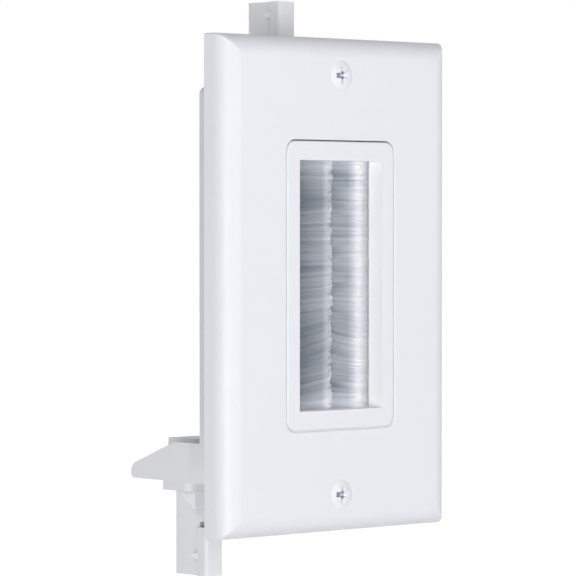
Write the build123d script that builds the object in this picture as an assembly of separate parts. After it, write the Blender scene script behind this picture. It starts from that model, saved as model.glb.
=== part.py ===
"""Single-gang brush wall plate with a clamping low-voltage bracket.

The part stands as it does on a wall. X runs to the right seen from the room, Y runs
into the wall and Z runs up. The origin is the centre of the wall cut-out, in the plane
of the wall's face, where the back rim of the plate and the bracket's flange rest.

A moulded wall plate is screwed to the strap of a brush insert. The strap is screwed to a
moulded bracket, whose collar goes into the cut-out. Two wings at opposite corners of the
bracket swing out behind the wall on long screws and are drawn forward to clamp it.

The sizes grow outwards from the window, so that a change of one carries what lies round it.
"""

import os
from math import atan2, cos, pi, sin, tan

from build123d import *

# Window in the insert, and the bezel round it
window_width = 25.7
window_height = 57.5
bezel_side = 3.825
bezel_end = 4.425
bezel_corner = 2.6
bezel_edge_rounding = 0.45
reveal_depth = 4.6

# Wall plate
plate_depth = 7.7
plate_web = 2.3
plate_rim = 2.4
plate_rounding = 4.6
plate_corner_rounding = 0.5
plate_inner_rounding = 2.4
opening_gap_side = 0.12
opening_gap_end = 0.25
opening_edge_rounding = 0.35
post_diameter = 9.4
post_foot = 1.0

# Screws that hold the plate to the strap
plate_screw_major = 3.5
plate_screw_pilot = 3.3
plate_screw_hole_gap = 0.2
plate_screw_head = 6.8
plate_screw_head_gap = 0.05
plate_screw_cone = 1.7
plate_screw_dome = 0.75
plate_screw_dome_fullness = 0.7
plate_screw_dome_shoulder = 0.55
plate_screw_tip_gap = 0.3

# Strap and brush carrier, moulded in one with the bezel
strap_thickness = 1.8
strap_ear_width = 18.6
strap_ear_end = 4.2
strap_shoulder_rise = 1.2
carrier_rim = 1.5
carrier_end = 2.025

# Screws that hold the strap to the bracket
strap_screw_inset = 6.45
strap_screw_major = 3.5
strap_screw_head = 6.4
strap_screw_head_height = 1.5
strap_screw_head_rounding = 0.75
strap_screw_length = 9.0
strap_screw_head_room = 0.4
strap_slot_length = 5.8
strap_slot_gap = 0.2
plate_screw_step = 6.75

# Brush strips
pocket_side = 4.55
pocket_end = 1.05
channel_gap = 0.1
channel_width = 3.6
channel_depth = 4.1
channel_wall = 0.6
channel_end_gap = 0.2
wire_diameter = 1.0
root_depth = 3.4
bank_thickness = 1.1
bank_gap = 0.05
tuft_pitch = 1.18
tuft_root_size = 0.76
tuft_fan = 0.7
tuft_line = 1.1
tuft_lap = 1.4
tuft_ragged = 0.45
tuft_wave = 2.4
tuft_ripple = 5.1
tuft_wave_share = 0.6
tuft_sides = 8
tuft_waist = 0.55

# Retainer behind the brushes
retainer_thickness = 1.6
retainer_screw_diameter = 2.0
retainer_screw_hole_gap = 0.05
retainer_screw_head = 3.8
retainer_screw_head_height = 1.2
retainer_screw_head_rounding = 0.5
retainer_screw_length = 4.4
retainer_screw_side = 1.75

# Mounting bracket
flange_thickness = 1.6
flange_side = 4.0
flange_end = 1.2
flange_corner = 4.0
flange_gap_side = 2.025
flange_gap_end = 0.95
collar_side = 7.6
collar_end = 4.0
collar_depth = 11.7
collar_corner = 1.8
collar_wall = 1.5
carrier_gap = 0.4
boss_wall = 2.2
strap_boss_depth = 8.4
clamp_boss_depth = 8.0
rib_thickness = 1.4
rib_depth = 6.0
screw_relief_gap = 0.5

# Fin that guards each wing's hub, as an extension of the collar's side wall
fin_width = 9.15
fin_knee_depth = 21.0
fin_knee_rounding = 1.6
fin_tip_depth = 36.9
fin_tip_drop = 6.0
fin_tip_top_rounding = 2.7
fin_tip_low_rounding = 1.2
fillet_share = 0.98

# Clamp screws
clamp_inset = 4.9
clamp_from_carrier = 5.0
clamp_screw_major = 3.5
clamp_screw_hole_gap = 0.2
clamp_screw_head = 6.6
clamp_screw_head_height = 2.0
clamp_screw_head_rounding = 0.9
clamp_screw_tip = 33.0
clamp_screw_point = 0.5

# Threaded bushes in the wings
bush_diameter = 5.0
bush_length = 8.0
bush_flange = 6.2
bush_flange_thickness = 0.9
bush_thread_gap = 0.05
bush_gap = 0.05

# Clamp wings, measured from the clamp screw's axis and from the wing's front face
wing_front = 24.2
hub_depth = 9.5
hub_outer = 5.4
hub_outer_top = 3.7
hub_inner = 5.25
hub_top = 3.8
hub_bottom = 8.5
hub_step_high = 0.2
hub_step_low = 3.4
hub_rounding = 2.0
arm_outer = 0.1
arm_depth = 11.3
lower_arm_length = 28.9
upper_arm_length = 27.3
pad_depth = 3.4
pad_rounding = 0.9
pad_slot_place = 15.8
pad_slot = 1.5
pad_slot_depth = 2.2
arm_rib_inset = 0.25
gusset_front = 4.4
gusset_back = 8.5
gusset_low = 12.8
nib_place = 24.2
nib_width = 1.9
nib_proud = 0.75
overlap = 1.0

# Cross recess in the screw heads
recess_width = 3.8
recess_slot = 0.9
recess_depth = 1.5

insert_width = window_width + 2 * bezel_side
insert_height = window_height + 2 * bezel_end
pocket_width = window_width + 2 * pocket_side
pocket_height = window_height + 2 * pocket_end
carrier_width = pocket_width + 2 * carrier_rim
carrier_height = insert_height + 2 * carrier_end
channel_length = pocket_height - 2 * channel_end_gap
strap_screw_z = carrier_height / 2 + strap_screw_inset
plate_screw_z = strap_screw_z + plate_screw_step
strap_length = 2 * (plate_screw_z + strap_ear_end)
strap_shoulder = carrier_height + 2 * strap_shoulder_rise
collar_width = carrier_width + 2 * collar_side
collar_height = 2 * (strap_screw_z + collar_end)
flange_width = collar_width + 2 * flange_side
flange_height = strap_length + 2 * flange_end
plate_width = flange_width + 2 * (flange_gap_side + plate_rim)
plate_height = flange_height + 2 * (flange_gap_end + plate_rim)
clamp_x = carrier_width / 2 - clamp_inset
clamp_z = carrier_height / 2 + clamp_from_carrier

plate_face = -plate_depth
web_back = plate_face + plate_web
strap_back = -flange_thickness
strap_front = strap_back - strap_thickness
brush_front = plate_face + reveal_depth
brush_middle = brush_front + channel_gap + channel_width / 2
carrier_back = brush_front + channel_width + 2 * channel_gap
hub_rear = wing_front + hub_depth
arm_rear = wing_front + arm_depth


def front_plane(y):
    """Plane whose sketch axes are X and Z, and which is extruded towards the room."""
    return Plane(origin=(0, y, 0), x_dir=(1, 0, 0), z_dir=(0, -1, 0))


def prism(sketch, y_front, y_back):
    """Extrude a sketch drawn in X and Z from one depth to another."""
    return extrude(front_plane(y_back) * sketch, amount=y_back - y_front)


def block(x_low, x_high, y_front, y_back, z_low, z_high):
    """Box between two corners."""
    middle = Pos((x_low + x_high) / 2, (y_front + y_back) / 2, (z_low + z_high) / 2)
    return middle * Box(x_high - x_low, y_back - y_front, z_high - z_low)


def rod(x, z, diameter, y_front, y_back):
    """Round bar along Y."""
    return prism(Pos(x, z) * Circle(diameter / 2), y_front, y_back)


def turned(points, z):
    """Solid of revolution about a line along Y, from (radius, depth) points."""
    section = make_face(Polyline(*[(radius, depth, 0) for radius, depth in points], close=True))
    return Pos(0, 0, z) * revolve(section, axis=Axis.Y)


def cushion(width, height, depth, rounding):
    """Slab with its back at the wall plane, and rounded front edges that meet in mitres."""
    slab = block(-width / 2, width / 2, -depth, 0, -height / 2, height / 2)
    upright = fillet(slab.edges().filter_by(Axis.Z).group_by(Axis.Y)[0], rounding)
    level = fillet(slab.edges().filter_by(Axis.X).group_by(Axis.Y)[0], rounding)
    return upright & level


def cross_recess(x, y, z, rise):
    """Cross-shaped driver recess that narrows with depth, open for a rise above y."""
    arms = Rectangle(recess_width, recess_slot) + Rectangle(recess_slot, recess_width)
    cut = prism(arms, y - rise, y + recess_depth)
    cone = turned(
        [(0, y + recess_depth), (recess_width / 2, y), (recess_width / 2, y - rise), (0, y - rise)], 0
    )
    return Pos(x, 0, z) * (cut & cone)


def both_ends(z):
    """A height above the middle and the same below it."""
    return (z, -z)


def make_wall_plate():
    """Moulded plate: thin shell, insert opening and two countersunk posts."""
    shell = cushion(plate_width, plate_height, plate_depth, plate_rounding)
    shell = fillet(shell.edges().filter_by(Axis.Y), plate_corner_rounding)
    hollow = cushion(
        plate_width - 2 * plate_rim,
        plate_height - 2 * plate_rim,
        plate_depth - plate_web,
        plate_inner_rounding,
    )
    plate = shell - hollow
    opening = RectangleRounded(
        insert_width + 2 * opening_gap_side,
        insert_height + 2 * opening_gap_end,
        bezel_corner + opening_gap_side,
    )
    plate -= prism(opening, plate_face - overlap, web_back + overlap)
    rim = plate.edges().group_by(Axis.Y)[0].filter_by(
        lambda edge: abs(edge.center().X) < insert_width and abs(edge.center().Z) < strap_screw_z
    )
    plate = fillet(rim, opening_edge_rounding)
    head_room = strap_screw_head + 2 * strap_screw_head_room
    hole = plate_screw_major + 2 * plate_screw_hole_gap
    head_radius = plate_screw_head / 2 + plate_screw_head_gap
    shank_radius = plate_screw_major / 2 + plate_screw_head_gap
    sink = [
        (0, plate_face - overlap),
        (head_radius, plate_face - overlap),
        (head_radius, plate_face),
        (shank_radius, plate_face + plate_screw_cone),
        (0, plate_face + plate_screw_cone),
    ]
    for z in both_ends(plate_screw_z):
        plate += rod(0, z, post_diameter, web_back - post_foot, strap_front)
    for z in both_ends(strap_screw_z):
        plate -= rod(0, z, head_room, web_back, strap_front + overlap)
    for z in both_ends(plate_screw_z):
        plate -= rod(0, z, hole, plate_face - overlap, strap_front + overlap)
        plate -= turned(sink, z)
    return plate


def make_plate_screw(z):
    """Oval-head machine screw with a cross recess."""
    head_radius = plate_screw_head / 2
    shank_radius = plate_screw_pilot / 2
    dome_top = (0, plate_face - plate_screw_dome)
    dome_shoulder = (
        head_radius * plate_screw_dome_shoulder,
        plate_face - plate_screw_dome * plate_screw_dome_fullness,
    )
    tip = (0, -plate_screw_tip_gap)
    tip_rim = (shank_radius, -plate_screw_tip_gap)
    neck = (shank_radius, plate_face + plate_screw_cone)
    head_rim = (head_radius, plate_face)
    section = make_face(
        Curve()
        + Polyline(dome_top, tip, tip_rim, neck, head_rim)
        + ThreePointArc(head_rim, dome_shoulder, dome_top)
    )
    screw = Pos(0, 0, z) * revolve(section, axis=Axis.Y)
    return screw - cross_recess(0, plate_face - plate_screw_dome / 2, z, plate_screw_dome)


def retainer_screw_places():
    """Centres of the four screws that hold the retainer."""
    x = window_width / 2 + retainer_screw_side
    z = (pocket_height + carrier_height) / 4
    return [(sx * x, sz * z) for sx in (-1, 1) for sz in (-1, 1)]


def make_brush_frame():
    """Bezel, strap and brush carrier, moulded as one."""
    bezel = prism(RectangleRounded(insert_width, insert_height, bezel_corner), plate_face, strap_back)
    bezel = fillet(bezel.edges().group_by(Axis.Y)[0], bezel_edge_rounding)
    strap = prism(Rectangle(carrier_width, strap_shoulder), strap_front, strap_back)
    ears = RectangleRounded(strap_ear_width, strap_length, bezel_corner)
    carrier = RectangleRounded(carrier_width, carrier_height, bezel_corner)
    frame = bezel + strap + prism(ears, strap_front, strap_back) + prism(carrier, strap_front, carrier_back)
    behind = carrier_back + overlap
    frame -= prism(Rectangle(window_width, window_height), plate_face - overlap, behind)
    frame -= prism(Rectangle(pocket_width, pocket_height), brush_front, behind)
    slot = SlotOverall(strap_slot_length, strap_screw_major + 2 * strap_slot_gap)
    for z in both_ends(plate_screw_z):
        frame -= rod(0, z, plate_screw_pilot, strap_front - overlap, strap_back + overlap)
    for z in both_ends(strap_screw_z):
        frame -= prism(Pos(0, z) * slot, strap_front - overlap, strap_back + overlap)
    tip = carrier_back + retainer_thickness - retainer_screw_length
    for x, z in retainer_screw_places():
        frame -= rod(x, z, retainer_screw_diameter, tip, behind)
    return frame


def make_brush_retainer():
    """Flat frame that closes the brush pockets from behind."""
    seat = carrier_back + retainer_thickness
    plate = prism(RectangleRounded(carrier_width, carrier_height, bezel_corner), carrier_back, seat)
    plate -= prism(Rectangle(window_width, window_height), carrier_back - overlap, seat + overlap)
    hole = retainer_screw_diameter + 2 * retainer_screw_hole_gap
    for x, z in retainer_screw_places():
        plate -= rod(x, z, hole, carrier_back - overlap, seat + overlap)
    return plate


def make_retainer_screws():
    """Four pan-head screws, driven from behind."""
    seat = carrier_back + retainer_thickness
    screws = []
    for x, z in retainer_screw_places():
        shank = rod(x, z, retainer_screw_diameter, seat - retainer_screw_length, seat)
        head = rod(x, z, retainer_screw_head, seat, seat + retainer_screw_head_height)
        head = fillet(head.edges().group_by(Axis.Y)[-1], retainer_screw_head_rounding)
        screws.append(shank + head)
    return Compound(children=screws)


def channel_back_x():
    """Distance of the closed back of each channel from the middle of the window."""
    return pocket_width / 2 - channel_gap


def make_channel(side):
    """Folded metal channel that grips one bank of bristles."""
    outer = channel_back_x()
    inner = outer - channel_depth
    half_width = channel_width / 2
    half_slot = half_width - channel_wall
    half_length = channel_length / 2
    channel = block(
        inner, outer, brush_middle - half_width, brush_middle + half_width, -half_length, half_length
    )
    channel -= block(
        inner - overlap,
        outer - channel_wall,
        brush_middle - half_slot,
        brush_middle + half_slot,
        -half_length - overlap,
        half_length + overlap,
    )
    return channel if side > 0 else channel.mirror(Plane.YZ)


def make_core_wire(side):
    """Wire that the filaments are folded round."""
    x = channel_back_x() - channel_wall - wire_diameter
    return Pos(side * x, brush_middle, 0) * Cylinder(wire_diameter / 2, channel_length)


def tuft_reach(index):
    """How much further or less far one tuft reaches than its neighbours."""
    wave = tuft_wave_share * sin(index * tuft_wave)
    ripple = (1 - tuft_wave_share) * cos(index * tuft_ripple)
    return tuft_ragged * (wave + ripple)


def make_bristles(side):
    """One bank of filaments: a folded root and a row of fanned tufts with ragged tips."""
    back = channel_back_x() - channel_wall - bank_gap
    mouth = back - root_depth
    half_root = channel_width / 2 - channel_wall - bank_gap
    half_length = channel_length / 2
    root = block(mouth, back, brush_middle - half_root, brush_middle + half_root, -half_length, half_length)
    if side < 0:
        root = root.mirror(Plane.YZ)
    wire_x = channel_back_x() - channel_wall - wire_diameter
    root -= Pos(side * wire_x, brush_middle, 0) * Cylinder(wire_diameter / 2, channel_length)
    bank_y = brush_middle + side * (bank_thickness / 2 + bank_gap)
    base = side * (mouth + bank_gap)
    tip = tuft_line - side * tuft_lap / 2
    count = int(window_height / tuft_pitch) - 1
    half_bank = count * tuft_pitch / 2
    half_web = bank_thickness * tuft_waist / 2
    web_tip = tip + side * 2 * tuft_ragged
    web = block(
        min(base, web_tip), max(base, web_tip), bank_y - half_web, bank_y + half_web, -half_bank, half_bank
    )
    tufts = []
    for index in range(count + 1):
        start = Plane(
            origin=(base, bank_y, index * tuft_pitch - half_bank), x_dir=(0, 0, 1), z_dir=(-side, 0, 0)
        )
        length = abs(tip - side * tuft_reach(index) - base)
        tufts.append(
            extrude(start * RegularPolygon(tuft_root_size / 2, tuft_sides), amount=length, taper=-tuft_fan)
        )
    return root + [web] + tufts


def make_strap_screw(z):
    """Pan-head screw that holds the strap to the bracket."""
    head_front = strap_front - strap_screw_head_height
    head = rod(0, z, strap_screw_head, head_front, strap_front)
    head = fillet(head.edges().group_by(Axis.Y)[0], strap_screw_head_rounding)
    shank = rod(0, z, strap_screw_major, strap_front, strap_front + strap_screw_length)
    return head + shank - cross_recess(0, head_front, z, overlap)


def make_fin():
    """Guard fin at the lower left corner, an extension of the collar's side wall."""
    top = -collar_height / 2 + fin_width
    bottom = -collar_height / 2
    root = collar_depth - collar_corner
    profile = Polyline(
        (root, top),
        (fin_knee_depth, top),
        (fin_tip_depth, top - fin_tip_drop),
        (fin_tip_depth, bottom),
        (root, bottom),
        close=True,
    )
    side_plane = Plane(origin=(-collar_width / 2, 0, 0), x_dir=(0, 1, 0), z_dir=(1, 0, 0))
    fin = extrude(side_plane * make_face(profile), amount=collar_wall)
    tip_turn = pi / 2 - atan2(fin_tip_drop, fin_tip_depth - fin_knee_depth)
    tip_room = fin_width - fin_tip_drop - fin_tip_low_rounding
    tip_rounding = min(fin_tip_top_rounding, fillet_share * tip_room / tan(tip_turn / 2))
    for y, z, rounding in (
        (fin_knee_depth, top, fin_knee_rounding),
        (fin_tip_depth, bottom, fin_tip_low_rounding),
        (fin_tip_depth, top - fin_tip_drop, tip_rounding),
    ):
        corner = fin.edges().filter_by(Axis.X).sort_by_distance(Vertex(-collar_width / 2, y, z))[0]
        fin = fillet(corner, rounding)
    return fin


def make_mounting_bracket():
    """Flange, collar, fins and screw bosses, moulded as one."""
    flange = prism(RectangleRounded(flange_width, flange_height, flange_corner), strap_back, 0)
    outside = RectangleRounded(collar_width, collar_height, collar_corner)
    inside = RectangleRounded(
        collar_width - 2 * collar_wall, collar_height - 2 * collar_wall, collar_corner - collar_wall
    )
    bracket = flange + prism(outside, 0, collar_depth) - prism(inside, 0, collar_depth + overlap)
    strap_boss = strap_screw_major + 2 * boss_wall
    clamp_boss = clamp_screw_major + 2 * boss_wall
    half_rib = rib_thickness / 2
    end_wall = collar_height / 2 - collar_wall / 2
    side_wall = collar_width / 2 - collar_wall / 2
    corner = rod(-clamp_x, -clamp_z, clamp_boss, 0, clamp_boss_depth)
    corner += block(-clamp_x - half_rib, -clamp_x + half_rib, 0, rib_depth, -end_wall, -clamp_z)
    corner += block(-side_wall, -clamp_x, 0, rib_depth, -clamp_z - half_rib, -clamp_z + half_rib)
    corner += rod(0, -strap_screw_z, strap_boss, 0, strap_boss_depth)
    corner += block(-half_rib, half_rib, 0, rib_depth, -end_wall, -strap_screw_z)
    corner += make_fin()
    bracket += corner
    bracket += opposite(corner)
    window = Rectangle(carrier_width + 2 * carrier_gap, carrier_height + 2 * carrier_gap)
    bracket -= prism(window, strap_back - overlap, rib_depth + overlap)
    hole = clamp_screw_major + 2 * clamp_screw_hole_gap
    relief = plate_screw_major + 2 * screw_relief_gap
    for side in (-1, 1):
        bracket -= rod(
            0, side * strap_screw_z, strap_screw_major, strap_back - overlap, strap_boss_depth + overlap
        )
        bracket -= rod(
            side * clamp_x, side * clamp_z, hole, strap_back - overlap, clamp_boss_depth + overlap
        )
        bracket -= rod(0, side * plate_screw_z, relief, strap_back - overlap, overlap)
    return bracket


def make_clamp_screw():
    """Long pan-head screw at the lower left corner."""
    head_front = strap_back - clamp_screw_head_height
    head = rod(-clamp_x, -clamp_z, clamp_screw_head, head_front, strap_back)
    head = fillet(head.edges().group_by(Axis.Y)[0], clamp_screw_head_rounding)
    shank = rod(-clamp_x, -clamp_z, clamp_screw_major, strap_back, clamp_screw_tip)
    shank = chamfer(shank.edges().group_by(Axis.Y)[-1], clamp_screw_point)
    return head + shank - cross_recess(-clamp_x, head_front, -clamp_z, overlap)


def make_clamp_bush():
    """Threaded bush with a flange that bears on the back of the wing's hub."""
    barrel = rod(-clamp_x, -clamp_z, bush_diameter, hub_rear - bush_length, hub_rear)
    rim = rod(-clamp_x, -clamp_z, bush_flange, hub_rear - bush_flange_thickness, hub_rear)
    bore = clamp_screw_major + 2 * bush_thread_gap
    return barrel + rim - rod(-clamp_x, -clamp_z, bore, wing_front, hub_rear + overlap)


def make_nib():
    """Small wedge that stands out of the outer side of the arm, at the groove beside the pad."""
    middle = pad_depth + wing_front
    half = nib_width / 2
    side_plane = Plane(origin=(-arm_outer - nib_proud, 0, 0), x_dir=(0, 1, 0), z_dir=(1, 0, 0))
    profile = Polyline(
        (middle - half / 2, -nib_place + half),
        (middle + half, -nib_place + half / 2),
        (middle + half, -nib_place),
        (middle - half / 2, -nib_place - half),
        close=True,
    )
    return extrude(side_plane * make_face(profile), amount=nib_proud + 2 * arm_rib_inset)


def make_clamp_wing(arm_length):
    """Wing of the lower left corner: hub, gusset and ribbed clamping arm."""
    hub_outline = Polyline(
        (hub_inner, hub_top),
        (-hub_outer_top, hub_top),
        (-hub_outer_top, -hub_step_high),
        (-hub_outer, -hub_step_low),
        (-hub_outer, -hub_bottom),
        (hub_inner, -hub_bottom),
        close=True,
    )
    hub = prism(make_face(hub_outline), wing_front, hub_rear)
    front_left = hub.edges().group_by(Axis.X)[0].filter_by(Axis.Z).group_by(Axis.Y)[0]
    hub = fillet(front_left, hub_rounding)
    arm_top = -hub_bottom + overlap
    pad = block(-arm_outer, hub_inner, wing_front, wing_front + pad_depth, -arm_length, arm_top)
    pad = fillet(pad.edges().filter_by(Axis.Z).group_by(Axis.Y)[0], pad_rounding)
    rib = block(
        -arm_outer + arm_rib_inset,
        hub_inner - arm_rib_inset,
        wing_front + pad_depth - overlap,
        arm_rear,
        -arm_length,
        arm_top,
    )
    gusset_outline = Polyline(
        (-hub_outer, arm_top),
        (-hub_outer, -hub_bottom),
        (-arm_outer, -gusset_low),
        (overlap, -gusset_low),
        (overlap, arm_top),
        close=True,
    )
    gusset = prism(make_face(gusset_outline), wing_front + gusset_front, wing_front + gusset_back)
    slot = block(
        -arm_outer - overlap,
        -arm_outer + pad_slot_depth,
        wing_front - overlap,
        wing_front + pad_depth,
        -pad_slot_place - pad_slot,
        -pad_slot_place,
    )
    nib = make_nib()
    arm_middle = (hub_inner - arm_outer) / 2
    other_nib = Pos(2 * arm_middle, 0, 0) * nib.mirror(Plane.YZ)
    wing = hub + pad + rib + gusset - slot + nib + other_nib
    flange_front = hub_rear - bush_flange_thickness - bush_gap
    barrel_front = hub_rear - bush_length - bush_gap
    wing -= rod(0, 0, bush_flange + 2 * bush_gap, flange_front, hub_rear + overlap)
    wing -= rod(0, 0, bush_diameter + 2 * bush_gap, barrel_front, hub_rear + overlap)
    wing -= rod(0, 0, clamp_screw_major + 2 * clamp_screw_hole_gap, wing_front - overlap, hub_rear)
    return Pos(-clamp_x, 0, -clamp_z) * wing


def opposite(shape):
    """Copy of a corner's piece for the opposite corner, half a turn about the Y axis."""
    return shape.rotate(Axis.Y, 180)


def main():
    """Write one STEP file for each piece."""
    os.makedirs("parts", exist_ok=True)
    screw = make_clamp_screw()
    bush = make_clamp_bush()
    pieces = {
        "wall_plate": make_wall_plate(),
        "upper_plate_screw": make_plate_screw(plate_screw_z),
        "lower_plate_screw": make_plate_screw(-plate_screw_z),
        "brush_frame": make_brush_frame(),
        "brush_retainer": make_brush_retainer(),
        "retainer_screws": make_retainer_screws(),
        "left_brush_channel": make_channel(-1),
        "right_brush_channel": make_channel(1),
        "left_core_wire": make_core_wire(-1),
        "right_core_wire": make_core_wire(1),
        "left_bristles": make_bristles(-1),
        "right_bristles": make_bristles(1),
        "upper_strap_screw": make_strap_screw(strap_screw_z),
        "lower_strap_screw": make_strap_screw(-strap_screw_z),
        "mounting_bracket": make_mounting_bracket(),
        "lower_clamp_screw": screw,
        "upper_clamp_screw": opposite(screw),
        "lower_clamp_bush": bush,
        "upper_clamp_bush": opposite(bush),
        "lower_clamp_wing": make_clamp_wing(lower_arm_length),
        "upper_clamp_wing": opposite(make_clamp_wing(upper_arm_length)),
    }
    for name, shape in pieces.items():
        export_step(shape, os.path.join("parts", name + ".step"))


main()
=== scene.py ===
"""Looks of a single-gang brush wall plate with its clamping bracket.

X runs to the right seen from the room, Y runs into the wall and Z runs up, in metres.
"""

import math
import random

import bmesh
import bpy
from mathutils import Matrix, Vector


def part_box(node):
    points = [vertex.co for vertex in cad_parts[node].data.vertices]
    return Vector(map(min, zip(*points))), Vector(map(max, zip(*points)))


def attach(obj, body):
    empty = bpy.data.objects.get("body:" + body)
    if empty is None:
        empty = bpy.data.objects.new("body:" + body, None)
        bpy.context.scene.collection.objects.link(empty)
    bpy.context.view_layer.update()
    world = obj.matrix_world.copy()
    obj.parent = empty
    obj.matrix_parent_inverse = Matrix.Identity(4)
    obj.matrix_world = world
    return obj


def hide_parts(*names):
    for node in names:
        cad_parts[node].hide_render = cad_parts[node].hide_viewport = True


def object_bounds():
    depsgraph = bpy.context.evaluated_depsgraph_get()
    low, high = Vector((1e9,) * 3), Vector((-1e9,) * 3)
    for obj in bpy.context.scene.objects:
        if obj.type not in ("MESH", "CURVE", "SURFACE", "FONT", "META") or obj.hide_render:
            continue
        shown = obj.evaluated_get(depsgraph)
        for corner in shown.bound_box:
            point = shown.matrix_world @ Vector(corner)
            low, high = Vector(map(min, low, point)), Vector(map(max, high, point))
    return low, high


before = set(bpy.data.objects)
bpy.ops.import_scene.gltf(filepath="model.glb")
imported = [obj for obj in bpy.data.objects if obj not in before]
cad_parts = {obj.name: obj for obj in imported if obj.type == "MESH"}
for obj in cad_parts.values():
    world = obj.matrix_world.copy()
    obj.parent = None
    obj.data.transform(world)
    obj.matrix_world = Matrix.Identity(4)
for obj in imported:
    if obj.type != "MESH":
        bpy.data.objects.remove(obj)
cad_low, cad_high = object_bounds()

MM = 0.001

# Camera, found from the plate's known size in the photograph
camera_place = (-513.88 * MM, -570.93 * MM, 14.84 * MM)
camera_aim = (0.66181, 0.74940, -0.02030)
camera_lens = 206.45
camera_sensor = 36.0
camera_nearest = 0.01
camera_farthest = 50.0

# Floor and surrounding light
floor_drop = 150 * MM
floor_size = 12.0
floor_tone = (0.86, 0.86, 0.87)
floor_roughness = 0.9
floor_shine = 0.1
floor_lift = 0.78
ambient_level = 0.52
ambient_top = 0.28
ambient_top_height = 0.6
ambient_tint = (0.985, 0.99, 1.0)

# Lamps as (azimuth and elevation in degrees, distance, width, height, level)
lamps = {
    "key": (-54, -8, 1.1, 0.55, 0.28, 0.66),
    "fill": (20, 4, 1.1, 0.7, 0.7, 0.335),
    "back": (172, 6, 1.2, 0.8, 0.5, 0.30),
}

# Colours
white = (1, 1, 1)
black = (0, 0, 0)
plate_white = (0.831, 0.838, 0.880)
insert_white = (0.831, 0.838, 0.878)
# Painted light: the window's walls whiter than the rest of the insert
window_painted_light = (0.985, 0.985, 0.99)
bracket_white = (0.80, 0.803, 0.82)
# Painted shade: the bracket's collar darker beside the plate's back
bracket_painted_shade = (0.66, 0.664, 0.685)
paint_white = (0.831, 0.838, 0.870)
worn_zinc = (0.27, 0.32, 0.41)
zinc_grey = (0.66, 0.70, 0.75)
bush_yellow = (0.78, 0.60, 0.28)
channel_grey = (0.72, 0.73, 0.75)
# Filament colours, from the deepest painted shade through grey to the brightest painted light
filament_dark = (0.22, 0.247, 0.292)
filament_grey = (0.72, 0.75, 0.80)
filament_light = (0.97, 0.972, 0.985)

# Painted shade on the bracket's collar, between corners in millimetres, and the share of its half size
# over which the painted shade fades
collar_low = (-42.0, 1.0, -44.0)
collar_high = (42.0, 16.0, 58.0)
collar_fade = 0.25

# Painted light on the window's walls, whiter than the insert, in millimetres: behind the plate's front,
# past the channel, within its ends
window_front = 0.73
window_side = 0.15
window_end = 0.5
window_fade = 0.005

# Moulded pieces as (colour, roughness, radius of softened edges, darkness and reach of the painted shade
# in crevices)
plate_looks = (plate_white, 0.42, 0.12 * MM, 0.05, 1.2 * MM)
insert_looks = (insert_white, 0.42, 0.15 * MM, 0.05, 1.2 * MM)
bracket_looks = (bracket_white, 0.50, 0.12 * MM, 0.55, 1.6 * MM)

# Moulded plastic, with scales in features a millimetre
plastic_shine = 0.35
mottle_scale = 0.06
mottle_detail = 4.0
mottle_range = (0.35, 0.65)
mottle_dark = 0.992
# Span of occlusion over which the painted shade in crevices fades out
crevice_shade_range = (0.25, 0.9)
gloss_scale = 0.35
gloss_range = (0.4, 0.9)
gloss_spread = (0.85, 1.15)
grain_scale = 5.0
grain_detail = 2.0
grain_share = 0.3
plastic_samples = 8

# Metals as (colour, roughness), and their spots and scratches with scales in features a millimetre
zinc_looks = (zinc_grey, 0.30)
brass_looks = (bush_yellow, 0.28)
channel_looks = (channel_grey, 0.38)
spot_scale = 1.3
spot_detail = 4.0
spot_dark = 0.82
metal_range = (0.3, 0.7)
metal_spread = (0.7, 1.3)
metal_grain = 4.0
scratch_grain = 8.0
scratch_strength = 0.3
scratch_depth = 0.01 * MM
metal_soft_edge = 0.08 * MM
bump_samples = 6

# White paint over zinc, worn away in the recesses
paint_roughness = 0.30
wear_scale = 2.4
wear_share = 0.5
wear_range = (0.62, 0.80)
wear_shine = (0.5, 0.5, 0.5)
paint_scale = 3.0
paint_detail = 2.0
paint_strength = 0.15
paint_soft_edge = 0.06 * MM

# Banks as (side, seed of the random draws, where the filaments bend in millimetres)
banks = {
    "left": (-1, 11, (-7.5, -1.2, 0.2)),
    "right": (1, 23, (10.6, 7.6, 4.0)),
}

# Filaments
filament_radius = 0.075 * MM
filaments_per_bank = 7300
filament_sides = 3
filament_pinch = 0.55
filament_root_depth = 1.0 * MM
filament_ragged = 0.45 * MM
filament_roughness = 0.42
# Painted light: how brightly the filaments glow, though they are no lamp
filament_painted_glow = 0.22
filament_clear = 0.2
grey_tone = 0.72
tip_gap = 0.1 * MM
tip_shift = 0.6 * MM
tip_scatter = 0.12 * MM
clump_pull = 0.15 * MM
bank_end_gap = 0.15 * MM
root_spread = 0.95 * MM
tip_spread = 0.42 * MM
lean_scatter = 0.012
sag_scatter = 0.05 * MM
bundles = 170
coarse_clumps = 40
fine_clumps = 120
sheet_half = 0.25 * MM
sheet_rows = 150
sheet_offset = 0.15 * MM

# Values that change with the place or height in millimetres: a step is (amount, from, to), a wave
# is (amount, rate, phase) and a painted shade is one darker band as (height, half height, how dark)
sheet_waves = ((0.075 * MM, 5.0, 0.0),)
lean_level = 0.02
lean_waves = ((0.03, 0.41, 1.0),)
lean_rise = ((0.13, -28.0, -23.0),)
lean_fall = ((1.0, 2.0, -13.0),)
# Painted shade as dark specks at the tips of some of the left bank's bundles
shaded_bundle_share = 0.2
bundle_painted_shade = -0.45
bundle_scatter = 0.06
own_scatter = 0.03
clump_tone = 0.025
# Lighter toward both ends of the banks
end_steps = ((0.20, 25.8, 27.2), (0.26, -25.0, -28.0))
tone_waves = ((0.03, 3.1, 0.0), (0.03, 5.3, 1.7), (0.02, 1.3, 0.0))
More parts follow.
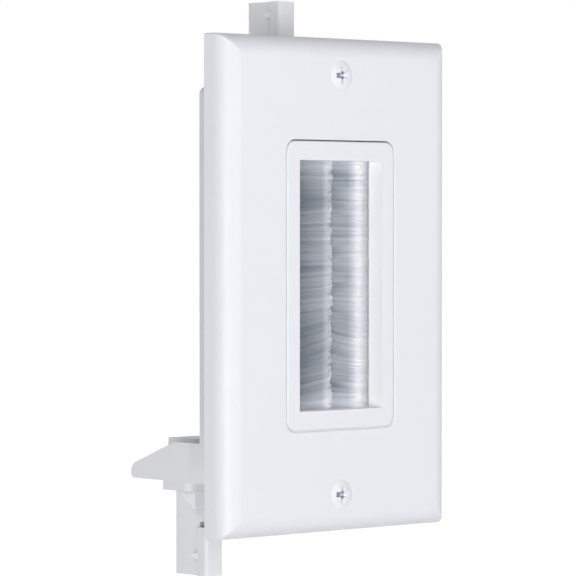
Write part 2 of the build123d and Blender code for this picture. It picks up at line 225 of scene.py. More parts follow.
# Left bank: painted shade toward its root, from the window's left wall, and painted light on its tips
left_tone = 0.14
left_painted_light_steps = ((0.22, -8.0, 0.2), (0.50, -0.8, 1.3))
left_painted_shade_fade = ((0.45, -3.0, 1.0),)
left_painted_shades = (
    (19.5, 2.4, 0.22),
    (12.0, 1.0, 0.05),
    (3.8, 0.9, 0.16),
    (-3.0, 0.7, 0.05),
    (-11.0, 2.6, 0.18),
    (-17.5, 1.9, 0.22),
    (-22.6, 0.8, 0.12),
)
# Right bank: painted shade near its tips, from the left bank's tips in front, and painted light toward
# its root
right_tone = 0.29
right_start = 4.0
right_start_waves = ((0.9, 0.55, 0.4), (0.6, 1.37, 0.0))
right_painted_light_past_start = ((0.24, 1.2, 6.8),)
right_painted_light_steps = ((0.48, 8.2, 11.4),)
right_painted_shade_fade = ((0.9, 1.0, 5.0),)
right_painted_shades = (
    (25.4, 1.3, 0.20),
    (20.0, 2.5, 0.18),
    (11.5, 0.7, 0.06),
    (7.4, 1.2, 0.12),
    (3.0, 0.7, 0.08),
    (-0.8, 1.2, 0.10),
    (-7.0, 0.9, 0.10),
    (-12.4, 0.9, 0.13),
    (-17.0, 0.8, 0.12),
    (-24.0, 0.9, 0.24),
)

# Lower wing in millimetres: the CAD surface's gusset, strip and nib, and how they are drawn here
cad_gusset = (28.6, 32.7, -53.0)
cad_strip_back = 27.6
cad_arm_half = 2.43
cad_nib_half = 3.425
arm_middle = -11.425
hub_floor = -48.7
hub_cover = 0.05
groove_half = 1.65
nib_halves = (2.72, 3.6)
wedge = ((-19.4, 28.4, -48.65), (-17.4, 24.2, -48.65), (-13.2, 24.2, -48.65), (-13.2, 28.4, -48.65))
wedge_foot = ((-17.4, 24.2, -53.0), (-13.2, 24.2, -53.0))
wedge_faces = ((0, 1, 2, 3), (1, 4, 5, 2), (0, 4, 1), (0, 3, 5, 4), (2, 5, 3))
web_top = ((-13.2, -48.6), (-17.35, -48.6), (-17.35, -53.0))
web_foot = ((-15.5, -54.9), (-15.5, -56.0), (-13.2, -56.0))
web_faces = (24.23, 25.8)
wing_sharp_angle = math.radians(30)

# How near a vertex of that surface lies to such a place, in millimetres
match_reach = 0.12
arm_match_reach = 0.2
strip_match_reach = 0.05

# Lip in the insert's gap as (width, height, corner radius) and depths in millimetres
lip_inner = (33.36, 66.36, 2.6)
lip_outer = (33.70, 66.96, 2.75)
lip_depths = (-7.15, -6.2)
lip_corner_steps = 8

# Screws: heads as (height, dome, edge rounding, cone), shanks as (radius, plain part), meshes as
# (rings, sides) of the head, and how far each recess is turned
oval_head = (0.75 * MM, 0.75 * MM, 0, 1.7 * MM)
oval_shank = (1.65 * MM, 0.4 * MM)
oval_mesh = (40, 144)
oval_turns = {"upper": 0.04, "lower": -0.06}
strap_head = (1.5 * MM, 0, 0.75 * MM, 0)
strap_shank = (1.75 * MM, 1.8 * MM)
clamp_head = (2.0 * MM, 0, 0.9 * MM, 0)
clamp_shank = (1.75 * MM, 1.0 * MM)
pan_mesh = (24, 96)
pan_turns = {"upper": 0.5, "lower": 1.1}
clamp_turn = 0.7
sharp_angle = math.radians(40)

# Threads and cross recesses
thread_pitch = 0.79 * MM
thread_depth = 0.42 * MM
thread_flanks = (0.15, 0.85)
thread_sides = 28
thread_steps = 6
point_taper = 0.5 * MM
point_length = 0.6 * MM
recess_arm = 0.62 * MM
recess_reach = 1.95 * MM
recess_depth = 1.25 * MM
recess_rise = 0.45
recess_wall = 0.30 * MM
bare_rim = (0.7 * MM, 1.3 * MM)
bare_left_rim = (1.6 * MM, 2.0 * MM)
bare_left_loss = 0.3


def cad(name):
    """CAD node by its name."""
    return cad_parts[name]


def new_material(name, color, roughness, metallic=0.0, specular=0.5):
    """Material with a plain shader, ready for its own nodes."""
    material = bpy.data.materials.new(name)
    material.use_nodes = True
    shader = material.node_tree.nodes["Principled BSDF"]
    shader.inputs["Base Color"].default_value = (*color, 1)
    shader.inputs["Roughness"].default_value = roughness
    shader.inputs["Metallic"].default_value = metallic
    shader.inputs["Specular IOR Level"].default_value = specular
    return material, material.node_tree, shader


def new_node(tree, kind, *values, operation=None):
    """First output of a new node whose inputs take these sockets or plain values, in order."""
    node = tree.nodes.new(kind)
    if operation:
        node.operation = operation
    for entry, value in zip(node.inputs, values):
        if isinstance(value, bpy.types.NodeSocket):
            tree.links.new(value, entry)
        else:
            entry.default_value = value
    return node.outputs[0]


def calculate(tree, operation, *values):
    """Result of a math node with these sockets or plain numbers."""
    return new_node(tree, "ShaderNodeMath", *values, operation=operation)


def vertex_value(tree, name):
    """Number that the mesh has under this name at every vertex."""
    node = tree.nodes.new("ShaderNodeAttribute")
    node.attribute_name = name
    return node.outputs["Fac"]


def place_coordinates(tree):
    """Object coordinates in millimetres."""
    texture = tree.nodes.new("ShaderNodeTexCoord")
    scale = tree.nodes.new("ShaderNodeVectorMath")
    scale.operation = "SCALE"
    scale.inputs["Scale"].default_value = 1 / MM
    tree.links.new(texture.outputs["Object"], scale.inputs[0])
    return scale.outputs["Vector"]


def noise(tree, where, scale, detail=3.0):
    """Noise whose scale is in features a millimetre."""
    node = tree.nodes.new("ShaderNodeTexNoise")
    node.inputs["Scale"].default_value = scale
    node.inputs["Detail"].default_value = detail
    tree.links.new(where, node.inputs["Vector"])
    return node.outputs["Fac"]


def ramp(tree, factor, span, color_low, color_high):
    """Colour ramp between two colours, over a span of the factor."""
    node = tree.nodes.new("ShaderNodeValToRGB")
    for element, position, color in zip(node.color_ramp.elements, span, (color_low, color_high)):
        element.position = position
        element.color = (*color, 1)
    tree.links.new(factor, node.inputs["Fac"])
    return node.outputs["Color"]


def soft_normal(tree, radius, samples):
    """Normal with the edges of the mesh softened to a radius."""
    bevel = tree.nodes.new("ShaderNodeBevel")
    bevel.samples = samples
    bevel.inputs["Radius"].default_value = radius
    return bevel.outputs["Normal"]


def bump(tree, shader, height, strength, soft_edge):
    """Fine scratches on a shader, over softened edges."""
    node = tree.nodes.new("ShaderNodeBump")
    node.inputs["Strength"].default_value = strength
    node.inputs["Distance"].default_value = scratch_depth
    tree.links.new(height, node.inputs["Height"])
    tree.links.new(soft_normal(tree, soft_edge, bump_samples), node.inputs["Normal"])
    tree.links.new(node.outputs["Normal"], shader.inputs["Normal"])


def grey(level):
    """Grey as a colour."""
    return (level, level, level)


def moulded_plastic(name, color, roughness, soft_edge, crevice_shade, reach):
    """White moulded plastic: faint mottling, uneven gloss, soft edges and painted shade in crevices."""
    material, tree, shader = new_material(name, color, roughness, specular=plastic_shine)
    where = place_coordinates(tree)
    mottle = noise(tree, where, mottle_scale, mottle_detail)
    flow = ramp(tree, mottle, mottle_range, tuple(c * mottle_dark for c in color), color)
    # Painted shade: the colour darkens where the surface lies in a crevice
    hidden = tree.nodes.new("ShaderNodeAmbientOcclusion")
    hidden.samples = plastic_samples
    hidden.inputs["Distance"].default_value = reach
    painted_shade = ramp(tree, hidden.outputs["AO"], crevice_shade_range, grey(1 - crevice_shade), white)
    mottle_and_shade = new_node(tree, "ShaderNodeVectorMath", flow, painted_shade, operation="MULTIPLY")
    tree.links.new(mottle_and_shade, shader.inputs["Base Color"])
    gloss = noise(tree, where, gloss_scale)
    grain = noise(tree, where, grain_scale, grain_detail)
    mixed = calculate(tree, "MULTIPLY_ADD", grain, grain_share, gloss)
    low, high = (grey(roughness * share) for share in gloss_spread)
    tree.links.new(ramp(tree, mixed, gloss_range, low, high), shader.inputs["Roughness"])
    tree.links.new(soft_normal(tree, soft_edge, plastic_samples), shader.inputs["Normal"])
    return material


def metal(name, color, roughness):
    """Plated or turned metal with fine scratches."""
    material, tree, shader = new_material(name, color, roughness, metallic=1.0)
    where = place_coordinates(tree)
    spots = noise(tree, where, spot_scale, spot_detail)
    darker = tuple(c * spot_dark for c in color)
    tree.links.new(ramp(tree, spots, metal_range, darker, color), shader.inputs["Base Color"])
    low, high = (grey(roughness * share) for share in metal_spread)
    uneven = ramp(tree, noise(tree, where, metal_grain), metal_range, low, high)
    tree.links.new(uneven, shader.inputs["Roughness"])
    bump(tree, shader, noise(tree, where, scratch_grain), scratch_strength, metal_soft_edge)
    return material


def paint_light_and_shade_inside(material, low, high, painted_color, fade):
    """Painted light or painted shade between two corners in millimetres: whiter walls as painted light,
    or a darker colour as the painted shade of what stands in front.

    fade is the share of the way from the middle to the sides over which the colour fades in.
    """
    tree = material.node_tree
    shader = tree.nodes["Principled BSDF"]
    middle = [(a + b) / 2 for a, b in zip(low, high)]
    half = [(b - a) / 2 for a, b in zip(low, high)]
    where = place_coordinates(tree)
    inside = new_node(tree, "ShaderNodeVectorMath", where, middle, operation="SUBTRACT")
    scaled = new_node(tree, "ShaderNodeVectorMath", inside, half, operation="DIVIDE")
    size = new_node(tree, "ShaderNodeVectorMath", scaled, operation="ABSOLUTE")
    split = tree.nodes.new("ShaderNodeSeparateXYZ")
    tree.links.new(size, split.inputs[0])
    x, y, z = split.outputs
    wide = calculate(tree, "MAXIMUM", x, z)
    most = calculate(tree, "MAXIMUM", wide, y)
    outside = shader.inputs["Base Color"].links[0].from_socket
    mix = tree.nodes.new("ShaderNodeMix")
    mix.data_type = "RGBA"
    tree.links.new(ramp(tree, most, (1 - fade, 1), white, black), mix.inputs["Factor"])
    colors = [socket for socket in mix.inputs if socket.type == "RGBA"]
    tree.links.new(outside, colors[0])
    colors[1].default_value = (*painted_color, 1)
    color = next(socket for socket in mix.outputs if socket.type == "RGBA")
    tree.links.new(color, shader.inputs["Base Color"])


def painted_metal(name, paint):
    """White paint over zinc, worn away where the attribute "bare" is high."""
    material, tree, shader = new_material(name, paint, paint_roughness)
    where = place_coordinates(tree)
    wear = noise(tree, where, wear_scale)
    bare = vertex_value(tree, "bare")
    worn = calculate(tree, "MULTIPLY_ADD", wear, wear_share, bare)
    tree.links.new(ramp(tree, worn, wear_range, paint, worn_zinc), shader.inputs["Base Color"])
    tree.links.new(ramp(tree, worn, wear_range, black, wear_shine), shader.inputs["Metallic"])
    bump(tree, shader, noise(tree, where, paint_scale, paint_detail), paint_strength, paint_soft_edge)
    return material


def bristle_material():
    """Silver-grey nylon, partly clear, whose colour follows each filament's tone with its painted light
    and shade, and which glows faintly as painted light.
    """
    material, tree, shader = new_material("bristle_nylon", filament_grey, filament_roughness)
    color = ramp(tree, vertex_value(tree, "tone_and_painted_light"), (0, 1), filament_dark, filament_light)
    middle = color.node.color_ramp.elements.new(grey_tone)
    middle.color = (*filament_grey, 1)
    tree.links.new(color, shader.inputs["Base Color"])
    # Painted light: the filaments glow in their own colour
    tree.links.new(color, shader.inputs["Emission Color"])
    shader.inputs["Emission Strength"].default_value = filament_painted_glow
    clear = new_node(tree, "ShaderNodeBsdfTranslucent", color)
    mix = new_node(tree, "ShaderNodeMixShader", filament_clear, shader.outputs[0], clear)
    tree.links.new(mix, tree.nodes["Material Output"].inputs["Surface"])
    return material


def assign(obj, material):
    """Give an object this material and no other."""
    obj.data.materials.clear()
    obj.data.materials.append(material)


def mesh_object(name, vertices, faces, flat=False):
    """New mesh object from vertices and faces."""
    mesh = bpy.data.meshes.new(name)
    mesh.from_pydata(vertices, [], faces)
    mesh.update()
    if not flat:
        mesh.shade_smooth()
    obj = bpy.data.objects.new(name, mesh)
    bpy.context.scene.collection.objects.link(obj)
    return obj


def add_values(obj, name, values):
    """Give an object a named number at every vertex, for its material."""
    attribute = obj.data.attributes.new(name, "FLOAT", "POINT")
    attribute.data.foreach_set("value", values)


def bounded(value):
    """Nearest value from 0 to 1."""
    return max(0.0, min(1.0, value))


def smooth(value, start, end):
    """0 before start, 1 past end and an even curve between; end may lie below start."""
    t = bounded((value - start) / (end - start))
    return t * t * (3 - 2 * t)


def steps(value, terms):
    """Sum of amounts that each come in from one place to another."""
    return sum(amount * smooth(value, start, end) for amount, start, end in terms)


def waves(value, terms):
    """Sum of sine waves."""
    return sum(amount * math.sin(value * rate + phase) for amount, rate, phase in terms)


def painted_shade_at(painted_shades, z):
    """Sum of the bands of painted shade at a height in millimetres."""
    return sum(painted_shade * math.exp(-(((z - middle) / half) ** 2)) for middle, half, painted_shade in painted_shades)


def lean_at(z):
    """How steeply the filaments lean up toward the tips, by height in millimetres."""
    return lean_level + steps(z, lean_rise) * steps(z, lean_fall) + waves(z, lean_waves)


def bank_tone_and_painted_light(side, x, z):
    """Tone of a bank at a place in millimetres, from 0 for dark to 1 for bright, with its painted light
    and shade.
    """
    tone_and_painted_light = steps(z, end_steps) + waves(z, tone_waves)
    if side < 0:
        tone_and_painted_light += left_tone + steps(x, left_painted_light_steps)
        return tone_and_painted_light - painted_shade_at(left_painted_shades, z) * (1 - steps(x, left_painted_shade_fade))
    past_start = x - right_start - waves(z, right_start_waves)
    tone_and_painted_light += right_tone + steps(x, right_painted_light_steps) + steps(past_start, right_painted_light_past_start)
    return tone_and_painted_light - painted_shade_at(right_painted_shades, z) * (1 - steps(past_start, right_painted_shade_fade))


def add_tube(vertices, faces, path):
    """Add one filament, a closed thin tube along a path, pinched at its tip."""
    first = len(vertices)
    for step, place in enumerate(path):
        size = filament_radius * (1.0 if step < len(path) - 1 else filament_pinch)
        for corner in range(filament_sides):
            angle = 2 * math.pi * corner / filament_sides
            vertices.append((place.x, place.y + size * math.cos(angle), place.z + size * math.sin(angle)))
    for step in range(len(path) - 1):
        for corner in range(filament_sides):
            a = first + step * filament_sides + corner
            b = first + step * filament_sides + (corner + 1) % filament_sides
            faces.append((a, b, b + filament_sides, a + filament_sides))
    last = first + (len(path) - 1) * filament_sides
    faces.append(tuple(last + corner for corner in range(filament_sides)))
    faces.append(tuple(first + corner for corner in reversed(range(filament_sides))))


def add_sheet(vertices, faces, stations, y, low_z, high_z):
    """Add a thin rippled sheet in the heart of a bank, which no light passes."""
    first = len(vertices)
    across = len(stations)
    for face in (-1, 1):
        for row in range(sheet_rows + 1):
            z = low_z + (high_z - low_z) * row / sheet_rows
            for x in stations:
                vertices.append((x, y + face * sheet_half + waves(z / MM, sheet_waves), z))
    layer = across * (sheet_rows + 1)
    for side, face in enumerate((-1, 1)):
        for row in range(sheet_rows):
            for column in range(across - 1):
                a = first + side * layer + row * across + column
                quad = (a, a + 1, a + across + 1, a + across)
                faces.append(quad if face < 0 else tuple(reversed(quad)))
    for row in range(sheet_rows):
        for column in (0, across - 1):
            a = first + row * across + column
            faces.append((a, a + across, a + layer + across, a + layer))
    for row in (0, sheet_rows):
        for column in range(across - 1):
            a = first + row * across + column
            faces.append((a, a + 1, a + layer + 1, a + layer))


def pick(values, share):
    """Value at a share of the way along a list, with an even change between neighbours."""
    place = share * (len(values) - 1)
    low = min(int(place), len(values) - 2)
    t = smooth(place, low, low + 1)
    return values[low] * (1 - t) + values[low + 1] * t


def make_bank(hand, side, seed, bends, material):
    """Thousands of single filaments that fan out of one channel to a ragged line of tips."""
    random.seed(seed)
    node = hand + "_bristles"
    low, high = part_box(node)
    channel_low, channel_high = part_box(hand + "_brush_channel")
    mouth = channel_high.x if side < 0 else channel_low.x
    middle_y = (channel_low.y + channel_high.y) / 2
    tip_x = high.x - tip_gap if side < 0 else low.x + filament_ragged
    tip_y = middle_y + side * tip_shift
    half = (high.z - low.z) / 2 - bank_end_gap
    root_x = mouth + side * filament_root_depth
    stations = [root_x, *(x * MM for x in bends)]
    vertices = []
    faces = []
    places = []
    coarse = [random.uniform(-1, 1) for _ in range(coarse_clumps)]
    fine = [random.uniform(-1, 1) for _ in range(fine_clumps)]
    bundle_reach = [random.gauss(0, filament_ragged) for _ in range(bundles)]
    bundle_tone_and_shade = []
    for _ in range(bundles):
        painted_shade = random.random() < shaded_bundle_share
        bundle_tone_and_shade.append(bundle_painted_shade if painted_shade else random.gauss(0, bundle_scatter))
    for _ in range(filaments_per_bank):
        z = random.uniform(-half, half)
        layer = random.uniform(-1, 1)
        share = (z + half) / (2 * half)
        clump = pick(coarse, share) + pick(fine, share)
        bundle = min(int(share * bundles), bundles - 1)
        tip = tip_x + side * abs(random.gauss(0, tip_scatter) + bundle_reach[bundle])
        tip -= side * clump_pull * clump
        lean = lean_at(z / MM) + random.gauss(0, lean_scatter)
        sag = random.gauss(0, sag_scatter)
        path = []
        for x in stations + [tip]:
            t = (x - root_x) / (tip - root_x)
            up = lean * abs(tip - root_x) * t * t + sag * math.sin(t * math.pi)
            spread = root_spread + (tip_spread - root_spread) * t
            y = middle_y + (tip_y - middle_y) * math.sin(t * math.pi / 2) + layer * spread
            path.append(Vector((x, y, max(-half, min(half, z + up)))))
        add_tube(vertices, faces, path)
        places.append((z, random.gauss(0, own_scatter) + clump_tone * clump, bundle_tone_and_shade[bundle], path))
    tones_and_painted_light = []
    for z, own, at_tip, path in places:
        for place in path:
            tone_and_painted_light = bank_tone_and_painted_light(side, place.x / MM, z / MM) + own
            # Painted shade: dark specks on the tips of some of the left bank's bundles
            if side < 0 and place is path[-1]:
                tone_and_painted_light += at_tip
            tones_and_painted_light.extend([bounded(tone_and_painted_light)] * filament_sides)
    add_sheet(vertices, faces, stations, tip_y - side * sheet_offset, -half, half)
    for x, _, z in vertices[len(tones_and_painted_light):]:
        tones_and_painted_light.append(bounded(bank_tone_and_painted_light(side, x / MM, z / MM)))
    bank = mesh_object(hand + "_bristle_bank", vertices, faces)
    add_values(bank, "tone_and_painted_light", tones_and_painted_light)
    assign(bank, material)
    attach(bank, "fixed")
    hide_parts(node)


def recess_mask(x, z, turn):
    """How far a place lies inside the cross recess, from 0 at its rim to 1 in its floor."""
    c = math.cos(turn)
    s = math.sin(turn)
    u = abs(x * c + z * s)
    v = abs(z * c - x * s)
    side = (recess_arm - min(u, v)) / recess_wall
    end = (recess_reach - max(u, v)) / recess_wall
    return bounded(min(side, end))


def screw_mesh(place, radius, length, head, shank, turn, rings, sides):
    """Vertices, faces and bareness of a screw with a cross recess and a helical thread.

    place is the middle of the head's top, radius is the head's, and the screw points into the wall.
    """
    height, dome, rounding, cone = head
    shank_radius, plain = shank
    vertices = []
    faces = []
    bares = []

    def put(r, angle, depth, bare):
        """Add one vertex at a radius, angle and depth below the top of the head."""
        x = r * math.cos(angle)
        z = r * math.sin(angle)
        vertices.append((place[0] + x, place[1] + depth, place[2] + z))
        bares.append(bare)

    def stitch(first, count, around):
        """Join rings of the same number of vertices."""
        for ring in range(count - 1):
            for corner in range(around):
                a = first + ring * around + corner
                b = first + ring * around + (corner + 1) % around
                faces.append((a, a + around, b + around, b))

    for ring in range(1, rings + 1):
        r = radius * ring / rings
        for corner in range(sides):
            angle = 2 * math.pi * corner / sides
            x = r * math.cos(angle)
            z = r * math.sin(angle)
            depth = dome * (r / radius) ** 2
            inner = radius - rounding
            if rounding and r > inner:
                depth += rounding - math.sqrt(max(0.0, rounding**2 - (r - inner) ** 2))
            mask = recess_mask(x, z, turn)
            depth += mask * recess_depth * (1 - recess_rise * r / recess_reach)
            bare = 1 - smooth(r, *bare_rim)
            if x < 0 and abs(z) < recess_arm:
                bare = 1 - bare_left_loss * smooth(r, *bare_left_rim)
            put(r, angle, depth, mask * bare)
    stitch(0, rings, sides)
    centre = len(vertices)
    put(0, 0, recess_depth, 1)
    for corner in range(sides):
        faces.append((centre, corner, (corner + 1) % sides))
    start = height + cone
    for depth, r in ((height, radius), (start, shank_radius)):
        for corner in range(sides):
            put(r, 2 * math.pi * corner / sides, depth, 0)
    # The centre comes before the last two rings in the list, so four faces inside the head run to it
    stitch(centre - sides, 3, sides)
    count = int((length - start) / thread_pitch * thread_steps)
    first = len(vertices)
    for ring in range(count + 1):
        depth = start + (length - start) * ring / count
        for corner in range(thread_sides):
            phase = (depth / thread_pitch - corner / thread_sides) % 1.0
            groove = thread_depth * smooth(1 - abs(2 * phase - 1), *thread_flanks)
            groove *= smooth(depth, start + plain, start + plain + thread_pitch)
            end = point_taper * smooth(depth, length - point_length, length)
            put(shank_radius - max(groove, end), 2 * math.pi * corner / thread_sides, depth, 0)
    stitch(first, count + 1, thread_sides)
    tip = len(vertices)
    put(0, 0, length, 0)
    last = first + count * thread_sides
    for corner in range(thread_sides):
        faces.append((tip, last + (corner + 1) % thread_sides, last + corner))
    return vertices, faces, bares


def make_screw(name, node, body, slot, material, head, shank, turn, mesh):
    """One screw in place of a CAD node, as long and as wide as the node."""
    low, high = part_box(node)
    place = ((low.x + high.x) / 2, low.y, (low.z + high.z) / 2)
    radius = (high.x - low.x) / 2
    vertices, faces, bares = screw_mesh(place, radius, high.y - low.y, head, shank, turn, *mesh)
    screw = mesh_object(name, vertices, faces)
    screw.data.set_sharp_from_angle(angle=sharp_angle)
    add_values(screw, "bare", bares)
    assign(screw, material)
    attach(screw, body)
    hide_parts(node)


def make_screws(painted, zinc):
    """Plate, strap and clamp screws, each where its CAD node lies."""
    for end, turn in oval_turns.items():
        oval = (oval_head, oval_shank, turn, oval_mesh)
        make_screw(end + "_oval_screw", end + "_plate_screw", "fixed", "painted_screw", painted, *oval)
    for end, turn in pan_turns.items():
        strap = (strap_head, strap_shank, turn, pan_mesh)
        make_screw(end + "_strap_pan_screw", end + "_strap_screw", "fixed", "zinc_steel", zinc, *strap)
        clamp_pan = (clamp_head, clamp_shank, turn + clamp_turn, pan_mesh)
        body = end + "_screw"
        make_screw(end + "_clamp_pan_screw", end + "_clamp_screw", body, "zinc_steel", zinc, *clamp_pan)


def area_light(name, azimuth, elevation, distance, width, height, level):
    """Soft box on a sphere round the origin, with level as the share of light on a face turned to it."""
    a = math.radians(azimuth)
    e = math.radians(elevation)
    back = Vector((math.sin(a) * math.cos(e), -math.cos(a) * math.cos(e), math.sin(e)))
    data = bpy.data.lights.new(name, "AREA")
    data.shape = "RECTANGLE"
    data.size = width
    data.size_y = height
    data.energy = level * math.pi * math.pi * distance * distance
    lamp = bpy.data.objects.new(name, data)
    bpy.context.scene.collection.objects.link(lamp)
    lamp.location = back * distance
    lamp.rotation_mode = "QUATERNION"
    lamp.rotation_quaternion = (-back).to_track_quat("-Z", "Y")


def seen_ray(tree):
    """1 for rays from the camera and for those that gloss and glass send on."""
    rays = tree.nodes.new("ShaderNodeLightPath").outputs
    seen = calculate(tree, "MAXIMUM", rays["Is Camera Ray"], rays["Is Glossy Ray"])
    return calculate(tree, "MAXIMUM", seen, rays["Is Transmission Ray"])


def make_world():
    """White to the camera; to everything else an even grey that dims toward the top."""
    world = bpy.data.worlds.new("studio")
    bpy.context.scene.world = world
    world.use_nodes = True
    tree = world.node_tree
    light = tree.nodes["Background"]
    light.inputs["Color"].default_value = (*ambient_tint, 1)
    texture = tree.nodes.new("ShaderNodeTexCoord")
    split = tree.nodes.new("ShaderNodeSeparateXYZ")
    tree.links.new(texture.outputs["Generated"], split.inputs[0])
    dim = tree.nodes.new("ShaderNodeMapRange")
    dim.inputs["From Min"].default_value = 0.0
    dim.inputs["From Max"].default_value = ambient_top_height
    dim.inputs["To Min"].default_value = ambient_level
    dim.inputs["To Max"].default_value = ambient_top
    tree.links.new(split.outputs["Z"], dim.inputs["Value"])
    tree.links.new(dim.outputs["Result"], light.inputs["Strength"])
    backdrop = new_node(tree, "ShaderNodeBackground", (*white, 1), 1.0)
    mix = new_node(tree, "ShaderNodeMixShader", seen_ray(tree), light.outputs[0], backdrop)
    tree.links.new(mix, tree.nodes["World Output"].inputs["Surface"])


def make_floor():
    """Pale floor under the part, which keeps the part's shadow."""
    z = cad_low.z - floor_drop
    h = floor_size / 2
    corners = [(-h, -h, z), (h, -h, z), (h, h, z), (-h, h, z)]
    floor = mesh_object("floor", corners, [(0, 1, 2, 3)], flat=True)
    material, tree, shader = new_material("floor", floor_tone, floor_roughness, specular=floor_shine)
    lift = tree.nodes.new("ShaderNodeEmission")
    lift.inputs["Strength"].default_value = floor_lift
    bright = new_node(tree, "ShaderNodeAddShader", shader.outputs[0], lift.outputs[0])
    mix = new_node(tree, "ShaderNodeMixShader", seen_ray(tree), shader.outputs[0], bright)
    tree.links.new(mix, tree.nodes["Material Output"].inputs["Surface"])
    assign(floor, material)


def make_camera():
    """Camera where the photograph was taken from."""
    data = bpy.data.cameras.new("camera")
    data.lens = camera_lens
    data.sensor_width = camera_sensor
    data.clip_start = camera_nearest
    data.clip_end = camera_farthest
    camera = bpy.data.objects.new("camera", data)
    bpy.context.scene.collection.objects.link(camera)
    camera.location = camera_place
    camera.rotation_mode = "QUATERNION"
    camera.rotation_quaternion = Vector(camera_aim).to_track_quat("-Z", "Y")
    bpy.context.scene.camera = camera


def rounded_outline(width, height, radius):
    """Points round a rectangle with round corners, from the top right corner clockwise."""
    points = []
    for corner in range(4):
        right = 1 if corner in (0, 1) else -1
        up = 1 if corner in (0, 3) else -1
        for step in range(lip_corner_steps + 1):
            angle = math.pi / 2 * (1 - corner - step / lip_corner_steps)
            x = right * (width / 2 - radius) + radius * math.cos(angle)
            z = up * (height / 2 - radius) + radius * math.sin(angle)
            points.append((x * MM, z * MM))
    return points


def make_lip(material):
    """Sloped lip of the plate's opening, which closes the insert's gap at its sides and foot."""
    inner = rounded_outline(*lip_inner)
    outer = rounded_outline(*lip_outer)
    front, back = (y * MM for y in lip_depths)
    quarter = len(inner) // 4
    order = range(quarter - 1, 3 * quarter + 1)
    vertices = []
    for i in order:
        for (x, z), y in ((inner[i], front), (outer[i], front), (outer[i], back), (inner[i], back)):
            vertices.append((x, y, z))
    faces = []
    for i in range(len(order) - 1):
        for corner in range(4):
            a = 4 * i + corner
            b = 4 * i + (corner + 1) % 4
            faces.append((a, b, b + 4, a + 4))
    last = len(vertices) - 4
    faces.append((3, 2, 1, 0))
    faces.append((last, last + 1, last + 2, last + 3))
    lip = mesh_object("opening_lip", vertices, faces)
    lip.data.set_sharp_from_angle(angle=sharp_angle)
    assign(lip, material)
    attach(lip, "fixed")


def near(a, b, reach=match_reach):
    """Whether two places in millimetres are the same."""
    return abs(a - b) < reach


def drawn_place(x, y, z):
    """Where a vertex of the lower wing's CAD surface goes: no gusset, a groove and a sharper nib."""
    front, back, low = cad_gusset
    if near(z, low) and (near(y, front) or near(y, back)):
        z = hub_floor - hub_cover
    side = -1 if x < arm_middle else 1
    out = abs(x - arm_middle)
    strip_edge = near(out, cad_arm_half, arm_match_reach) and near(y, cad_strip_back, strip_match_reach)
    if strip_edge and z < hub_floor:
        out = groove_half
    if near(out, cad_nib_half) and z < hub_floor:
        out = nib_halves[0] if y < cad_strip_back else nib_halves[1]
    return arm_middle + side * out, y, z


def add_shell(shape, points, faces, turn):
    """Add one closed shell, turned with its wing."""
    corners = [shape.verts.new((turn * x * MM, y * MM, turn * z * MM)) for x, y, z in points]
    made = [shape.faces.new([corners[i] for i in face]) for face in faces]
    bmesh.ops.recalc_face_normals(shape, faces=made)


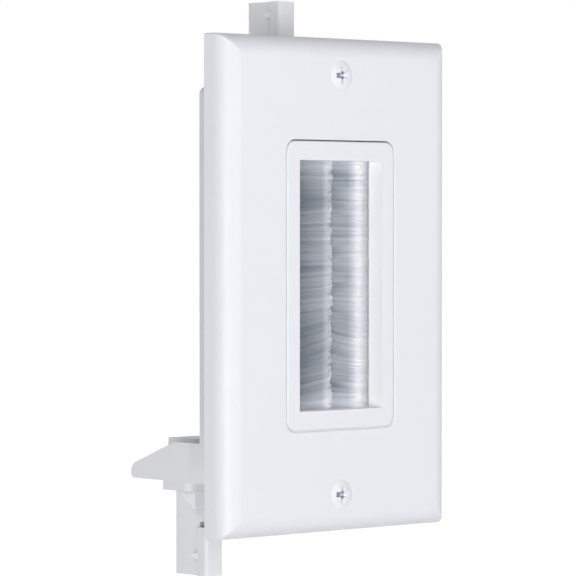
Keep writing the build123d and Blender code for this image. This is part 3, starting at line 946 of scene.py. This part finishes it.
def make_wings(material):
    """Each wing once more from its CAD surface, with its gusset as a web and a wedge at the front."""
    outline = web_top + web_foot
    count = len(outline)
    web = [(x, y, z) for y in web_faces for x, z in outline]
    web_sides = [tuple(range(count)), tuple(range(count, 2 * count))]
    web_sides += [(i, (i + 1) % count, count + (i + 1) % count, count + i) for i in range(count)]
    for end, turn in (("lower", 1), ("upper", -1)):
        node = end + "_clamp_wing"
        shape = bmesh.new()
        shape.from_mesh(cad(node).data)
        for vertex in shape.verts:
            x, y, z = vertex.co / MM
            x, y, z = drawn_place(turn * x, y, turn * z)
            vertex.co = Vector((turn * x, y, turn * z)) * MM
        add_shell(shape, wedge + wedge_foot, wedge_faces, turn)
        add_shell(shape, web, web_sides, turn)
        mesh = bpy.data.meshes.new(end + "_ribbed_wing")
        shape.to_mesh(mesh)
        shape.free()
        mesh.shade_smooth()
        mesh.set_sharp_from_angle(angle=wing_sharp_angle)
        wing = bpy.data.objects.new(end + "_ribbed_wing", mesh)
        bpy.context.scene.collection.objects.link(wing)
        assign(wing, material)
        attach(wing, end + "_wing")
        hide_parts(node)


def dress_nodes():
    """Material for every CAD node, hidden ones too."""
    plate = moulded_plastic("plate_plastic", *plate_looks)
    insert = moulded_plastic("insert_plastic", *insert_looks)
    bracket = moulded_plastic("bracket_plastic", *bracket_looks)
    # Painted shade on the bracket's collar
    paint_light_and_shade_inside(bracket, collar_low, collar_high, bracket_painted_shade, collar_fade)
    # Painted light on the window's walls, whiter by place
    channel_low, channel_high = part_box("right_brush_channel")
    side = channel_low.x / MM + window_side
    top = channel_high.z / MM - window_end
    walls_low = (-side, cad_low.y / MM + window_front, -top)
    walls_high = (side, channel_high.y / MM, top)
    paint_light_and_shade_inside(insert, walls_low, walls_high, window_painted_light, window_fade)
    painted = painted_metal("painted_screw", paint_white)
    zinc = metal("zinc_steel", *zinc_looks)
    brass = metal("bush_brass", *brass_looks)
    channel = metal("channel_metal", *channel_looks)
    dress = {
        "wall_plate": plate,
        "brush_frame": insert,
        "brush_retainer": insert,
        "mounting_bracket": bracket,
        "lower_clamp_wing": bracket,
        "upper_clamp_wing": bracket,
        "upper_plate_screw": painted,
        "lower_plate_screw": painted,
        "retainer_screws": zinc,
        "upper_strap_screw": zinc,
        "lower_strap_screw": zinc,
        "lower_clamp_screw": zinc,
        "upper_clamp_screw": zinc,
        "left_core_wire": zinc,
        "right_core_wire": zinc,
        "lower_clamp_bush": brass,
        "upper_clamp_bush": brass,
        "left_brush_channel": channel,
        "right_brush_channel": channel,
    }
    for name, material in dress.items():
        assign(cad(name), material)
    make_wings(bracket)
    make_lip(plate)
    make_screws(painted, zinc)


bpy.context.scene.view_settings.view_transform = "Standard"
make_camera()
make_world()
make_floor()
for lamp_name, lamp_values in lamps.items():
    area_light(lamp_name, *lamp_values)
dress_nodes()
nylon = bristle_material()
for bank_hand, bank_values in banks.items():
    make_bank(bank_hand, *bank_values, nylon)
